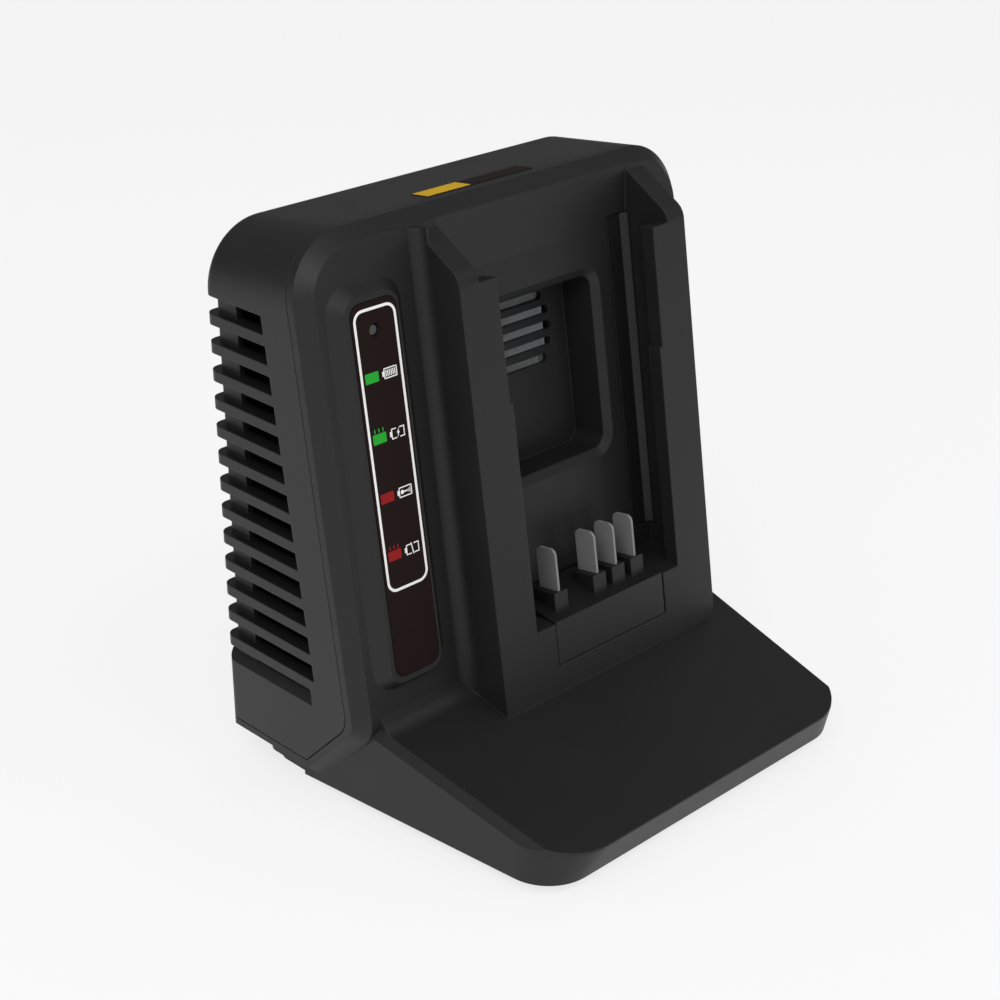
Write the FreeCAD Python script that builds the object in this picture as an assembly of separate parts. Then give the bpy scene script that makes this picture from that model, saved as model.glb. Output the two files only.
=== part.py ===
import FreeCAD, Part
import math
import os

V = FreeCAD.Vector

# Sizes in millimetres. X is across, Y runs from the front to the back, +Z is up, and the floor is Z 0.
# The body's front leans back. Its features are laid out in a leaning frame: x across as before,
# p straight behind the dock's front face, u up along the lean from the foot of that face.

# Whole body
bodyWidth = 178.0
bodyTop = 200.0
bodyRear = 76.8
bodyBottom = 7.0
lowBevel = 3.0            # along the body's bottom edges
roofFall = 6.5            # degrees that the roof falls towards the back
footHeight = 3.3
lean = 8.57               # degrees
dockY = -15.5             # foot of the dock's front face
dockZ = 29.5
bezelFront = 17.9         # p of the bezel's front face
chinSum = 36.0            # Y + Z along the body's slanted chin
cornerRadius = 22.0
rearRadius = 4.0
chinRadius = 12.0
bezelChamfer = 4.8
wall = 2.6
frontWall = 2.8
cavityP = 22.8            # p of the inside of the front wall
seamP = 25.5              # p of the parting line
seamChinSum = 46.2
seamFloor = 12.6
seamRadius = 10.0
seamGap = 0.35
tongueReach = 3.0
tongueWall = 1.4
tongueStop = 13.6
fitGap = 0.15

# Dock for the battery
dockCentre = 14.85
dockWidth = 108.5
dockWall = 8.6
dockFace = 154.7          # u where the front face ends
dockKnee = 7.0
dockSlantP = 18.6
dockSlantU = 169.6
channelBack = 20.6
channelTop = 164.5
channelFlare = 172.0
ledgeZ = 54.7
lipThick = 6.0
lipReach = 7.8
lipReachLow = 9.1
lipStepU = 108.5
lipTop = 151.5
wallCore = 2.4
stripWidth = 9.4
stripThick = 1.2
stripSink = 0.6
stripTop = 154.0
stripBottom = 37.0
stripFillet = 2.2
stripGap = 0.5

# Pocket and its grille in the channel's back wall
pocketWidth = 60.0
pocketBottom = 69.0
pocketTop = 138.7
pocketRim = 3.0
pocketRimDepth = 1.9
pocketBack = 36.8
pocketRadius = 8.0
pocketWall = 2.2
grilleU = 117.6
grilleRadius = 20.0
grilleRows = 5
grillePitch = 5.8
grilleSlot = 3.2

# Terminal block and its blades
terminalWidth = 54.9
terminalLow = 10.15
terminalHigh = 26.0
terminalSlope = 16.7      # degrees against the leaning frame
terminalBack = 25.6
terminalWall = 2.5
terminalGap = 0.3
terminalSideGap = 0.9
bladePitch = 9.8
bladeSteps = (-2, 0, 1, 2)
bladeThick = 1.0
bladeFront = 5.0
bladeWidth = 9.1
bladeTop = 49.7
bladeFoot = 5.5
bladeCorner = 2.4
towerWidth = 6.5
towerFront = 4.2
towerDepth = 10.6
towerTop = 34.2
bladeFit = 0.05

# Foot of the charger, in front of and under the body
baseRearHalf = bodyWidth / 2 - 6.4
baseRearY = 2.4
baseFrontHalf = bodyWidth / 2 - 11.4
baseFrontY = -76.8
baseTaperY = -49.8
baseRadius = 22.0
baseLowRadius = 17.0
baseSlope = 12.65
baseChamfer = 2.7
baseLand = 0.6
baseUndercut = 4.8
baseInsideY = 38.8
baseFillet = 8.0
plinthHalf = bodyWidth / 2 - 5
plinthRear = 63.0
plinthRadius = 5.0

# Indicator pad on the left of the front
padLeft = 8.0 - bodyWidth / 2
padRight = 39.5 - bodyWidth / 2
padLow = 20.0
padHigh = 158.5
padSlope = 5.0
padTopP = 14.0
padRadius = 9.0
labelLeft = 15.0 - bodyWidth / 2
labelRight = 34.4 - bodyWidth / 2
labelLow = 24.8
labelHigh = 152.4
labelRadius = 4.0
labelThick = 0.4
labelProud = 0.15
lensX = 24.3 - bodyWidth / 2
lensU = 142.8
lensRadius = 2.2
lensSink = 0.9
lensLength = 5.0
windowUs = (127.9, 107.6, 87.4, 67.4)
guideX = 20.6 - bodyWidth / 2
guideWidth = 5.6
guideHeight = 4.2
panelFillet = 5.0
ledBoardGap = 3.0
ledBoardThick = 1.6
ledBoardWidth = 17.0
ledBoardEdge = 8.0
ledRadius = 1.5
ledHeight = 2.6

# Label on the roof
roofLabelLeft = -24.4
roofLabelRight = 24.4
roofLabelFront = 38.0
roofLabelBack = 46.0
roofLabelThick = 0.2

# Side vents
ventCount = 14
ventTop = 172.4
ventPitch = 10.0
ventHeight = 6.2
ventSetback = 14.9        # behind the parting line
ventThroughRear = 63.4
ventSink = 3.0
ventWrap = 15.0
ventLiner = 2.4           # thickness left behind the notches
ventLowShift = 3.1
ventBevel = 3.0            # height of the slanted floor of the lowest slot
ventEdge = 4.0

# Screws that hold the cover on
coverScrewX = bodyWidth / 2 - 17
coverScrewZs = (22.5, bodyTop - 21.5)
bossRadius = 4.6
bossEnd = 64.8
screwShank = 1.95
screwHead = 3.7
screwHeadHigh = 2.6
screwLength = 17.0
screwFit = 0.05
wellRadius = 4.2
wellFloor = 3.0

# Feet
footLength = 30.0
footWidth = 12.0
footRearX = bodyWidth / 2 - 13.5
footRearY = 46.0
footFrontX = bodyWidth / 2 - 29.5
footFrontY = -53.2
footPlug = 1.6
footPlugShrink = 2.0

# Fan and fins behind the grille
finsDepth = 8.0
finsHalf = 20.5
finsHigh = 34.0
finsPitch = 4.0
finsSheet = 0.5
fanSize = 60.0
fanDepth = 15.0
fanHole = 25.0
fanBore = 28.3
fanHub = 11.0
fanMotor = 10.0
fanBlades = 7
fanBladeThick = 1.2
fanBladeAngle = 38.0
fanTipGap = 0.9
fanStrut = 2.4
fanFloor = 1.6
fanPostRadius = 3.4
shaftRadius = 1.5
bushRadius = 2.8
runFit = 0.05
fanScrewShank = 1.3
fanScrewHead = 2.6
fanHoleRadius = 1.8

# Circuit board and what stands on it
boardLeft = 25.0 - bodyWidth / 2
boardRight = bodyWidth / 2 - 22
boardFront = 4.8
boardRear = 68.8
boardZ = 12.0
boardThick = 1.6
standRadius = 3.2
boardScrewShank = 1.2
boardScrewHead = 2.6
boardScrewLength = 8.0
boardInset = 5.0
coreX = -14.0
coreY = 40.8
coreWidth = 42.0
coreDepth = 15.0
coreHigh = 30.0
coreLimb = 5.9            # half the middle limb, and the whole of each outer one
bobbinWall = 1.2
windingWidth = 24.0
windingDepth = 27.0
bobbinFlange = 1.5
capacitorRadius = 9.5
capacitorHigh = 36.0
capacitorXs = (18.5, 39.5)
capacitorY = 44.8
smallCapRadius = 5.0
smallCapHigh = 20.0
smallCapXs = (13.0, 25.0, 44.0)
smallCapY = 22.8
chokeX = -50.0
chokeY = 22.8
chokeRadius = 10.0
chokeHole = 4.6
chokeDepth = 9.0
chokeCoat = 1.6
sinkThick = 3.0
sinkX = 58.0
sinkHigh = 34.0
sinkFins = 6
sinkFinReach = 6.0
transistorWidth = 10.0
transistorHigh = 15.0
transistorThick = 4.5
transistorYs = (26.8, 48.8)
legPitch = 2.54
legWidth = 1.0
legThick = 0.7
legBack = 1.9
fuseX = -40.0
fuseY = 8.8
fuseLength = 20.0
fuseRadius = 2.6

# Mains inlet low on the back
inletX = -44.0
inletZ = 31.0
inletWide = 20.8
inletHigh = 11.4
inletDeep = 16.0
inletWall = 1.8
inletFlange = 3.0
inletFlangeThick = 1.2
inletPinRadius = 1.2
inletPinSpread = 4.3
inletPinSink = 1.5
inletPinTail = 3.0
leadRadius = 1.3
leadBend = 6.0

leanRad = math.radians(lean)
cosLean = math.cos(leanRad)
sinLean = math.sin(leanRad)
half = bodyWidth / 2
dockLeft = dockCentre - dockWidth / 2
dockRight = dockCentre + dockWidth / 2
channelLeft = dockLeft + dockWall
channelRight = dockRight - dockWall
floorTop = footHeight + wall
postEnd = pocketBack + pocketWall + finsDepth + 2.0
grilleBack = pocketBack + pocketWall
reach = 2 * bodyTop        # far beyond the body, for cutting regions


def leanPoint(x, p, u):
    return V(x, dockY + p * cosLean + u * sinLean, dockZ - p * sinLean + u * cosLean)


def leaned(shape):
    shape = shape.copy()
    shape.rotate(V(0, 0, 0), V(1, 0, 0), -lean)
    shape.translate(V(0, dockY, dockZ))
    return shape


def block(x0, x1, y0, y1, z0, z1):
    return Part.makeBox(x1 - x0, y1 - y0, z1 - z0, V(x0, y0, z0))


def sideSolid(points, x0, x1):
    """A closed outline in Y and Z, drawn out along X."""
    wire = Part.makePolygon([V(x0, y, z) for y, z in points + points[:1]])
    return Part.Face(wire).extrude(V(x1 - x0, 0, 0))


def roundedWire(x0, x1, z0, z1, radius, y):
    """A rounded rectangle facing Y, as four lines and four arcs."""
    k = radius * (1 - math.sqrt(0.5))
    lines = [
        (V(x0 + radius, y, z0), V(x1 - radius, y, z0)),
        (V(x1, y, z0 + radius), V(x1, y, z1 - radius)),
        (V(x1 - radius, y, z1), V(x0 + radius, y, z1)),
        (V(x0, y, z1 - radius), V(x0, y, z0 + radius)),
    ]
    mids = [V(x1 - k, y, z0 + k), V(x1 - k, y, z1 - k), V(x0 + k, y, z1 - k), V(x0 + k, y, z0 + k)]
    edges = []
    for i in range(4):
        edges.append(Part.LineSegment(*lines[i]).toShape())
        edges.append(Part.Arc(lines[i][1], mids[i], lines[(i + 1) % 4][0]).toShape())
    return Part.Wire(edges)


def roundedBlock(x0, x1, y0, y1, z0, z1, radius):
    return Part.Face(roundedWire(x0, x1, z0, z1, radius, y0)).extrude(V(0, y1 - y0, 0))


def taperBlock(near, far, y0, y1):
    """Between two rounded rectangles (x0, x1, z0, z1, radius) at y0 and y1."""
    return Part.makeLoft([roundedWire(*near, y0), roundedWire(*far, y1)], True, True)


def rodAlongY(x, z, radius, y0, y1):
    return Part.makeCylinder(radius, y1 - y0, V(x, y0, z), V(0, 1, 0))


def rodAlongZ(x, y, radius, z0, z1):
    return Part.makeCylinder(radius, z1 - z0, V(x, y, z0), V(0, 0, 1))


def slotAlongX(x0, x1, y0, y1, z, height):
    """A slot with round ends, cut along Y."""
    r = height / 2
    body = block(x0 + r, x1 - r, y0, y1, z - r, z + r)
    return body.fuse([rodAlongY(x0 + r, z, r, y0, y1), rodAlongY(x1 - r, z, r, y0, y1)]).removeSplitter()


def bentTube(points, radius, bend):
    """A round wire through the points, with an arc of the same bend at each turn."""
    edges = []
    start = points[0]
    for i in range(1, len(points) - 1):
        before = (points[i - 1] - points[i]).normalize()
        after = (points[i + 1] - points[i]).normalize()
        turn = math.pi - before.getAngle(after)
        reach = bend * math.tan(turn / 2)
        arcIn = points[i] + before * reach
        arcOut = points[i] + after * reach
        middle = (before + after).normalize()
        arcMid = points[i] + middle * (bend / math.cos(turn / 2) - bend)
        edges.append(Part.LineSegment(start, arcIn).toShape())
        edges.append(Part.Arc(arcIn, arcMid, arcOut).toShape())
        start = arcOut
    edges.append(Part.LineSegment(start, points[-1]).toShape())
    ring = Part.Wire(Part.makeCircle(radius, points[0], points[1] - points[0]))
    return Part.Wire(edges).makePipeShell([ring], True, False)


def near(value, target):
    return abs(value - target) < 0.01


def roofZ(y, inset=0.0):
    return bodyTop - inset - (y - seamTopY()) * math.tan(math.radians(roofFall))


def seamTopY():
    return dockY + seamP * cosLean + (bodyTop - dockZ) * math.tan(leanRad)


def frontY(p, z):
    """Y of the leaning plane p at height z."""
    return dockY + p / cosLean + (z - dockZ) * math.tan(leanRad)


def chinCorner(p, total):
    """Where the leaning plane p meets the line Y + Z = total."""
    t = math.tan(leanRad)
    z = (total - dockY - p / cosLean + dockZ * t) / (1 + t)
    return total - z, z


def envelope(inset, frontP, chamfer):
    """The body's outer form, or the room inside it when an inset is given."""
    total = chinSum + inset * math.sqrt(2)
    bottom = bodyBottom + inset
    rear = bodyRear - inset
    topY = frontY(frontP, bodyTop)
    outline = [
        (total - bottom, bottom),
        chinCorner(frontP, total),
        (topY, roofZ(topY, inset)),
        (rear, roofZ(rear, inset)),
        (rear, bottom),
    ]
    side = half - inset
    solid = sideSolid(outline, -side, side)
    cornerY, cornerZ = chinCorner(frontP, total)
    chin = [e for e in solid.Edges if near(e.CenterOfMass.y, cornerY) and near(e.CenterOfMass.z, cornerZ)]
    solid = solid.makeFillet(chinRadius, chin)
    top = [e for e in solid.Edges if near(abs(e.CenterOfMass.x), side) and e.BoundBox.ZMin > bodyTop - 12
           and e.BoundBox.YLength > 10]
    solid = solid.makeFillet(cornerRadius - inset, top)
    back = [e for e in solid.Edges if near(e.BoundBox.YMin, rear) and e.BoundBox.ZMax > bottom + 5]
    solid = solid.makeFillet(max(rearRadius - inset, 0.6), back)
    rim = [e for e in solid.Edges if onFront(e, frontP, total, topY)]
    return solid.makeChamfer(chamfer, rim)


def lowBevels():
    """Wedges for the bevel along the body's bottom edges, at both sides and the back."""
    far = lowBevel + 1
    corners = [V(-far, 0, -1), V(1, 0, far), V(far, 0, -far)]
    wedge = Part.Face(Part.makePolygon(corners + corners[:1]))
    right = wedge.extrude(V(0, 2 * bodyRear, 0))
    right.translate(V(half, 0, bodyBottom))
    left = right.mirror(V(0, 0, 0), V(1, 0, 0))
    back = wedge.extrude(V(0, 2 * bodyWidth, 0))
    back.rotate(V(0, 0, 0), V(0, 0, 1), 90)
    back.translate(V(bodyWidth, bodyRear, bodyBottom))
    return [left, right, back]


def onFront(edge, frontP, total, topY):
    """True for the edges between the front or chin and the sides or roof."""
    at = edge.valueAt((edge.FirstParameter + edge.LastParameter) / 2)
    p = (at.y - dockY) * cosLean - (at.z - dockZ) * sinLean
    across = edge.BoundBox.XLength
    if abs(p - frontP) < 0.02:
        return across < 1 or at.z > bodyTop / 2
    isChin = abs(at.y + at.z - total) < 0.02
    if isChin:
        return across < 1
    return across < 1 and frontP < p < frontP + chinRadius / 2 and at.y + at.z < total + chinRadius \
        and edge.BoundBox.YLength > 1


def frontRegion(gap):
    """All that lies before and below the parting line, moved back by a gap."""
    total = seamChinSum + gap * math.sqrt(2)
    p = seamP + gap
    high = reach
    low = seamFloor + gap
    cornerY, cornerZ = chinCorner(p, total)
    outline = [
        (frontY(p, high), high),
        (cornerY, cornerZ),
        (total - low, low),
        (reach, low),
        (reach, -reach),
        (-reach, -reach),
        (-reach, high),
    ]
    solid = sideSolid(outline, -bodyWidth, bodyWidth)
    corner = [e for e in solid.Edges if near(e.CenterOfMass.y, cornerY) and near(e.CenterOfMass.z, cornerZ)]
    return solid.makeFillet(seamRadius, corner)


def baseOutline(inset, undercut, corner, z):
    """The foot's outline seen from above: straight sides that draw in, and round front corners."""
    slope = (baseRearHalf - baseFrontHalf) / (baseRearY - baseTaperY)
    frontAt = baseFrontY + undercut + inset
    radius = corner - inset

    def sideX(y):
        return baseRearHalf - inset - (baseRearY - y) * slope

    angle = math.atan(slope)
    centreX = sideX(frontAt + radius) - radius / math.cos(angle)
    centreY = frontAt + radius
    touchX = centreX + radius * math.cos(angle)
    touchY = centreY - radius * math.sin(angle)
    turn = (math.pi / 2 - angle) / 2 + angle
    midX = centreX + radius * math.sin(math.pi / 2 - turn)
    midY = centreY - radius * math.sin(turn)
    rear = baseInsideY
    pts = [V(sideX(rear), rear, z), V(touchX, touchY, z), V(centreX, frontAt, z)]
    mid = V(midX, midY, z)

    def flip(v):
        return V(-v.x, v.y, v.z)

    edges = [
        Part.LineSegment(pts[0], pts[1]).toShape(),
        Part.Arc(pts[1], mid, pts[2]).toShape(),
        Part.LineSegment(pts[2], flip(pts[2])).toShape(),
        Part.Arc(flip(pts[2]), flip(mid), flip(pts[1])).toShape(),
        Part.LineSegment(flip(pts[1]), flip(pts[0])).toShape(),
        Part.LineSegment(flip(pts[0]), pts[0]).toShape(),
    ]
    return Part.Wire(edges)


def baseTopZ(y, drop=0.0):
    return dockZ + (y - dockY) * math.tan(math.radians(baseSlope)) - drop


def baseSolid(inset, bottom):
    """The foot's outer form, or the room inside it when an inset is given."""
    waist = baseTopZ(baseFrontY) - baseLand
    skirt = Part.makeLoft([baseOutline(inset, baseUndercut, baseLowRadius, bottom),
                           baseOutline(inset, 0, baseRadius, waist)], True, True)
    upper = Part.Face(baseOutline(inset, 0, baseRadius, waist)).extrude(V(0, 0, bodyTop / 2))
    drop = inset / math.cos(math.radians(baseSlope))
    over = [(-reach, baseTopZ(-reach, drop)), (reach, baseTopZ(reach, drop)), (reach, reach), (-reach, reach)]
    sky = sideSolid(over, -bodyWidth, bodyWidth)
    return skirt.fuse(upper.cut(sky)).removeSplitter()


def baseBevels():
    """Flat bevels along the foot's two long edges, which fade out at its round corners."""
    bevels = []
    slope = (baseRearHalf - baseFrontHalf) / (baseRearY - baseTaperY)
    for side in (-1, 1):
        sections = []
        for y in (baseFrontY - baseRadius, baseInsideY):
            x = baseRearHalf - (baseRearY - y) * slope
            z = baseTopZ(y)
            corners = [V(side * (x - baseChamfer), y, z), V(side * x, y, z - baseChamfer),
                       V(side * (x + baseRadius), y, z - baseChamfer), V(side * (x + baseRadius), y, z + baseRadius),
                       V(side * (x - baseChamfer), y, z + baseRadius)]
            sections.append(Part.makePolygon(corners + corners[:1]))
        bevels.append(Part.makeLoft(sections, True, True))
    return bevels


def baseHollowRound():
    """The hollow round between the front wall and the foot's top, left of the dock."""
    rise = math.radians(90 - lean)
    fall = math.radians(180 + baseSlope)
    up = V(0, math.cos(rise), math.sin(rise))
    out = V(0, math.cos(fall), math.sin(fall))
    slant = math.tan(math.radians(baseSlope))
    y = (dockY + bezelFront / cosLean) / (1 - math.tan(leanRad) * slant) - dockY * math.tan(leanRad) * slant
    corner = V(0, y, baseTopZ(y))
    halfAngle = up.getAngle(out) / 2
    touch = baseFillet / math.tan(halfAngle)
    middle = (up + out).normalize()
    centre = corner + middle * (baseFillet / math.sin(halfAngle))
    start = corner + up * touch
    end = corner + out * touch
    mid = centre - middle * baseFillet
    back = corner - middle
    edges = [Part.Arc(start, mid, end).toShape(), Part.LineSegment(end, end - up).toShape(),
             Part.LineSegment(end - up, back).toShape(), Part.LineSegment(back, start - out).toShape(),
             Part.LineSegment(start - out, start).toShape()]
    left = baseChamfer - baseRearHalf
    solid = Part.Face(Part.Wire(edges)).extrude(V(dockLeft - left, 0, 0))
    solid.translate(V(left, 0, 0))
    return solid


def dockSolid():
    points = [(0, -4), (0, dockFace), (dockSlantP, dockSlantU), (dockSlantP, -4)]
    solid = sideSolid(points, dockLeft, dockRight)
    knee = [e for e in solid.Edges if near(e.CenterOfMass.y, 0) and near(e.CenterOfMass.z, dockFace)]
    return leaned(solid.makeFillet(dockKnee, knee))


def panelTopU():
    """u where the flat front ends below the roof's chamfer."""
    return (bodyTop - bezelChamfer - dockZ + bezelFront * sinLean) / cosLean


def channelCut():
    """The battery's channel, open to the front and the top."""
    points = [(-5, 0), (channelBack, 0), (channelBack, channelTop - 14), (bezelFront + 1.0, channelTop),
              (bezelFront, channelFlare), (-5, channelFlare + 10)]
    room = leaned(sideSolid(points, channelLeft, channelRight))
    below = block(-bodyWidth, bodyWidth, -reach, reach, -reach, ledgeZ)
    return room.cut(below)


def lipSolid(side):
    """The rail along one side of the channel's mouth; it widens a little below the step."""
    wallX = channelLeft if side < 0 else channelRight
    rails = []
    for reach, top in ((lipReach, lipTop), (lipReachLow, lipStepU)):
        inner = wallX - side * reach
        rails.append(block(min(inner, wallX), max(inner, wallX), 0, lipThick, 0, top))
    return leaned(rails[0].fuse(rails[1]).removeSplitter())


def cornerStrip(side, grow):
    """The guide strip in a back corner of the channel, or its seat when grown."""
    wallX = channelLeft if side < 0 else channelRight
    outer = wallX - side * (stripGap - grow)
    inner = wallX - side * (stripWidth + grow)
    front = channelBack - (stripSink if grow else 0)
    strip = block(min(outer, inner), max(outer, inner), front, channelBack + stripThick, stripBottom - grow,
                  stripTop + grow)
    if grow:
        return leaned(strip)
    r = stripFillet
    corner = Part.makePolygon([V(outer, channelBack, 0), V(outer - side * r, channelBack, 0),
                               V(outer, channelBack - r, 0), V(outer, channelBack, 0)])
    wedge = Part.Face(corner).extrude(V(0, 0, stripTop - stripBottom))
    wedge.translate(V(0, 0, stripBottom))
    return leaned(strip.fuse(wedge).removeSplitter())


def pocketShape(grow):
    """The pocket's room, or its outer walls when grown."""
    x0 = dockCentre - pocketWidth / 2 + pocketRim - grow
    x1 = dockCentre + pocketWidth / 2 - pocketRim + grow
    z0 = pocketBottom + pocketRim - grow
    z1 = pocketTop - pocketRim + grow
    inner = (x0, x1, z0, z1, pocketRadius - pocketRim + grow)
    straight = roundedBlock(x0, x1, channelBack + pocketRimDepth, pocketBack + grow, *inner[2:])
    if grow:
        return leaned(straight)
    outer = (dockCentre - pocketWidth / 2, dockCentre + pocketWidth / 2, pocketBottom, pocketTop, pocketRadius)
    rim = taperBlock(outer, inner, channelBack, channelBack + pocketRimDepth)
    return leaned(straight.fuse([rim, roundedBlock(*outer[:2], channelBack - 4, channelBack, *outer[2:])]))


def grilleCuts():
    cuts = []
    for i in range(grilleRows):
        rise = (i - (grilleRows - 1) / 2) * grillePitch
        reach = math.sqrt(grilleRadius ** 2 - rise ** 2)
        cuts.append(leaned(slotAlongX(dockCentre - reach, dockCentre + reach, pocketBack - 1, grilleBack + 1,
                                      grilleU + rise, grilleSlot)))
    return cuts


def terminalRoom():
    """The seat of the terminal block, cut through the dock's front, its ledge and its back wall."""
    x0 = dockCentre - terminalWidth / 2 - terminalGap
    x1 = dockCentre + terminalWidth / 2 + terminalSideGap
    return leaned(block(x0, x1, -1, cavityP + 1, terminalLow - terminalGap, terminalTopAt(cavityP) + terminalGap))


def terminalTopAt(p):
    return terminalHigh + p * math.tan(math.radians(terminalSlope))


def padSolid():
    base = (padLeft, padRight, padLow, padHigh, padRadius)
    top = (padLeft + padSlope, padRight - padSlope + 1.0, padLow + padSlope / 2, padHigh - padSlope + 1.0,
           padRadius - 3.5)
    pad = Part.makeLoft([roundedWire(*top, padTopP), roundedWire(*base, bezelFront)], True, True)
    return leaned(pad.fuse(roundedBlock(*base[:2], bezelFront, bezelFront + 1, *base[2:])))


def labelSeat(grow, depth):
    return leaned(roundedBlock(labelLeft - grow, labelRight + grow, padTopP - 5, padTopP + depth,
                               labelLow - grow, labelHigh + grow, labelRadius + grow))


def guideRods(grow, p0, p1):
    rods = []
    for u in windowUs:
        rods.append(leaned(block(guideX - guideWidth / 2 - grow, guideX + guideWidth / 2 + grow, p0, p1,
                                 u - guideHeight / 2 - grow, u + guideHeight / 2 + grow)))
    return rods


def wallFillet():
    """The hollow round between the sunk panel and the dock's left wall."""
    r = panelFillet
    centre = V(dockLeft - r, bezelFront - r, 0)
    start = V(dockLeft - r, bezelFront, 0)
    end = V(dockLeft, bezelFront - r, 0)
    mid = centre + V(math.sqrt(0.5) * r, math.sqrt(0.5) * r, 0)
    corner = V(dockLeft + 1, bezelFront + 1, 0)
    edges = [
        Part.Arc(start, mid, end).toShape(),
        Part.LineSegment(end, V(dockLeft + 1, bezelFront - r, 0)).toShape(),
        Part.LineSegment(V(dockLeft + 1, bezelFront - r, 0), corner).toShape(),
        Part.LineSegment(corner, V(dockLeft - r, bezelFront + 1, 0)).toShape(),
        Part.LineSegment(V(dockLeft - r, bezelFront + 1, 0), start).toShape(),
    ]
    solid = Part.Face(Part.Wire(edges)).extrude(V(0, 0, panelTopU()))
    return leaned(solid)


def coverBosses():
    """Long screw posts on the front housing, each with a web to the floor or the front wall."""
    solids = []
    for side in (-1, 1):
        x = side * coverScrewX
        low, high = coverScrewZs
        solids.append(rodAlongY(x, low, bossRadius, chinSum - low + wall, bossEnd))
        solids.append(block(x - 1.2, x + 1.2, chinSum - low + 6, bossEnd, footHeight + 1, low))
        solids.append(rodAlongY(x, high, bossRadius, frontY(bezelFront + 1, high), bossEnd))
    return solids


def coverPilots():
    return [rodAlongY(side * coverScrewX, z, screwShank + screwFit, bossEnd - screwLength, bossEnd + 1)
            for side in (-1, 1) for z in coverScrewZs]


def fanPosts():
    posts = []
    for sx in (-1, 1):
        for sz in (-1, 1):
            x = dockCentre + sx * fanHole
            u = grilleU + sz * fanHole
            start = grilleBack - 1 if abs(sx * fanHole) < pocketWidth / 2 and u < pocketTop else cavityP - 1
            posts.append(leaned(rodAlongY(x, u, fanPostRadius, start, postEnd)))
    return posts


def fanPilots(radius, p0, p1):
    return [leaned(rodAlongY(dockCentre + sx * fanHole, grilleU + sz * fanHole, radius, p0, p1))
            for sx in (-1, 1) for sz in (-1, 1)]


def boardPosts():
    spots = []
    for x in (boardLeft + boardInset, boardRight - boardInset):
        for y in (boardFront + boardInset, boardRear - boardInset):
            spots.append((x, y))
    return spots


def tongue():
    """A thin lip inside the seam, which the cover's wall slides over."""
    outer = envelope(wall + fitGap, cavityP, innerChamfer(wall + fitGap))
    inner = envelope(wall + fitGap + tongueWall, cavityP, innerChamfer(wall + fitGap + tongueWall))
    ring = outer.cut(inner)
    band = frontRegion(tongueReach).cut(frontRegion(-tongueReach))
    ring = ring.common(band)
    behindChin = block(-bodyWidth, bodyWidth, -reach, bodyRear - tongueStop, bodyBottom + wall, reach)
    return ring.common(behindChin)


def innerChamfer(inset):
    return max(bezelChamfer - inset * (2 - math.sqrt(2)), 0.8)


def feetSpots():
    return (("foot_rear_left", -footRearX, footRearY, 90), ("foot_rear_right", footRearX, footRearY, 90),
            ("foot_front_left", -footFrontX, footFrontY, -45), ("foot_front_right", footFrontX, footFrontY, 45))


def footSolid(x, y, turn, shrink, z0, z1):
    r = footWidth / 2 - shrink
    reach = footLength / 2 - footWidth / 2
    pad = block(-reach, reach, -r, r, z0, z1)
    pad = pad.fuse([rodAlongZ(-reach, 0, r, z0, z1), rodAlongZ(reach, 0, r, z0, z1)]).removeSplitter()
    pad.rotate(V(0, 0, 0), V(0, 0, 1), turn)
    pad.translate(V(x, y, 0))
    return pad


def frontHousing(outerBody, innerBody):
    shell = outerBody.common(frontRegion(0)).cut(lowBevels())
    base = baseSolid(0, footHeight).cut(baseBevels())
    plinth = block(-plinthHalf, plinthHalf, baseInsideY - wall, plinthRear, footHeight, bodyBottom + wall / 2)
    rearCorners = [e for e in plinth.Edges if near(e.CenterOfMass.y, plinthRear) and e.BoundBox.XLength < 0.1]
    plinth = plinth.makeFillet(plinthRadius, rearCorners)
    shell = shell.fuse([base, plinth, dockSolid(), padSolid(), wallFillet(), baseHollowRound()])
    hollow = innerBody.cut(leaned(block(-bodyWidth, bodyWidth, -reach, cavityP, -reach, reach)))
    baseRoom = baseSolid(frontWall, floorTop)
    neck = leaned(block(dockLeft + wall, dockRight - wall, wall, cavityP + 1, -20, 80))
    neck = neck.common(block(-bodyWidth, bodyWidth, -50, 60, floorTop, ledgeZ - wall))
    cores = []
    for x0 in (dockLeft + wallCore, channelRight + wallCore):
        cores.append(leaned(block(x0, x0 + dockWall - 2 * wallCore, wallCore, cavityP + 1, 14, dockFace - 6)))
    shell = shell.cut([hollow, baseRoom, neck, channelCut(), padRoom(), panelRoom()] + cores)
    shell = shell.fuse([lipSolid(-1), lipSolid(1), pocketShape(pocketWall)] + fanPosts() + coverBosses())
    stands = [rodAlongZ(x, y, standRadius, floorTop - 1 if y < baseInsideY else bodyBottom + 1, boardZ)
              for x, y in boardPosts()]
    shell = shell.fuse(stands + [tongue()])
    cuts = [pocketShape(0), terminalRoom(), cornerStrip(-1, 0.3), cornerStrip(1, 0.3), labelSeat(0.2, labelThick)]
    cuts += grilleCuts() + coverPilots() + guideRods(0.2, padTopP - 2, cavityP + 1)
    cuts += fanPilots(fanScrewShank + screwFit, postEnd - 6, postEnd + 1)
    cuts.append(leaned(rodAlongY(lensX, lensU, lensRadius + 0.1, padTopP - 2, cavityP + 1)))
    cuts += [rodAlongZ(x, y, boardScrewShank + screwFit, boardZ - boardScrewLength + 1.2, boardZ + 1)
             for x, y in boardPosts()]
    cuts += [footSolid(x, y, turn, footPlugShrink - 0.1, 0, footHeight + footPlug + 0.1)
             for _, x, y, turn in feetSpots()]
    cuts += [leaned(rodAlongY(x, u, 1.0, cavityP - 2.2, cavityP + 6)) for x, u in ledScrewSpots()]
    posts = [leaned(rodAlongY(x, u, 2.4, cavityP - 0.5, cavityP + ledBoardGap)) for x, u in ledScrewSpots()]
    shell = shell.fuse(posts).cut(cuts)
    return shell.removeSplitter()


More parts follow.
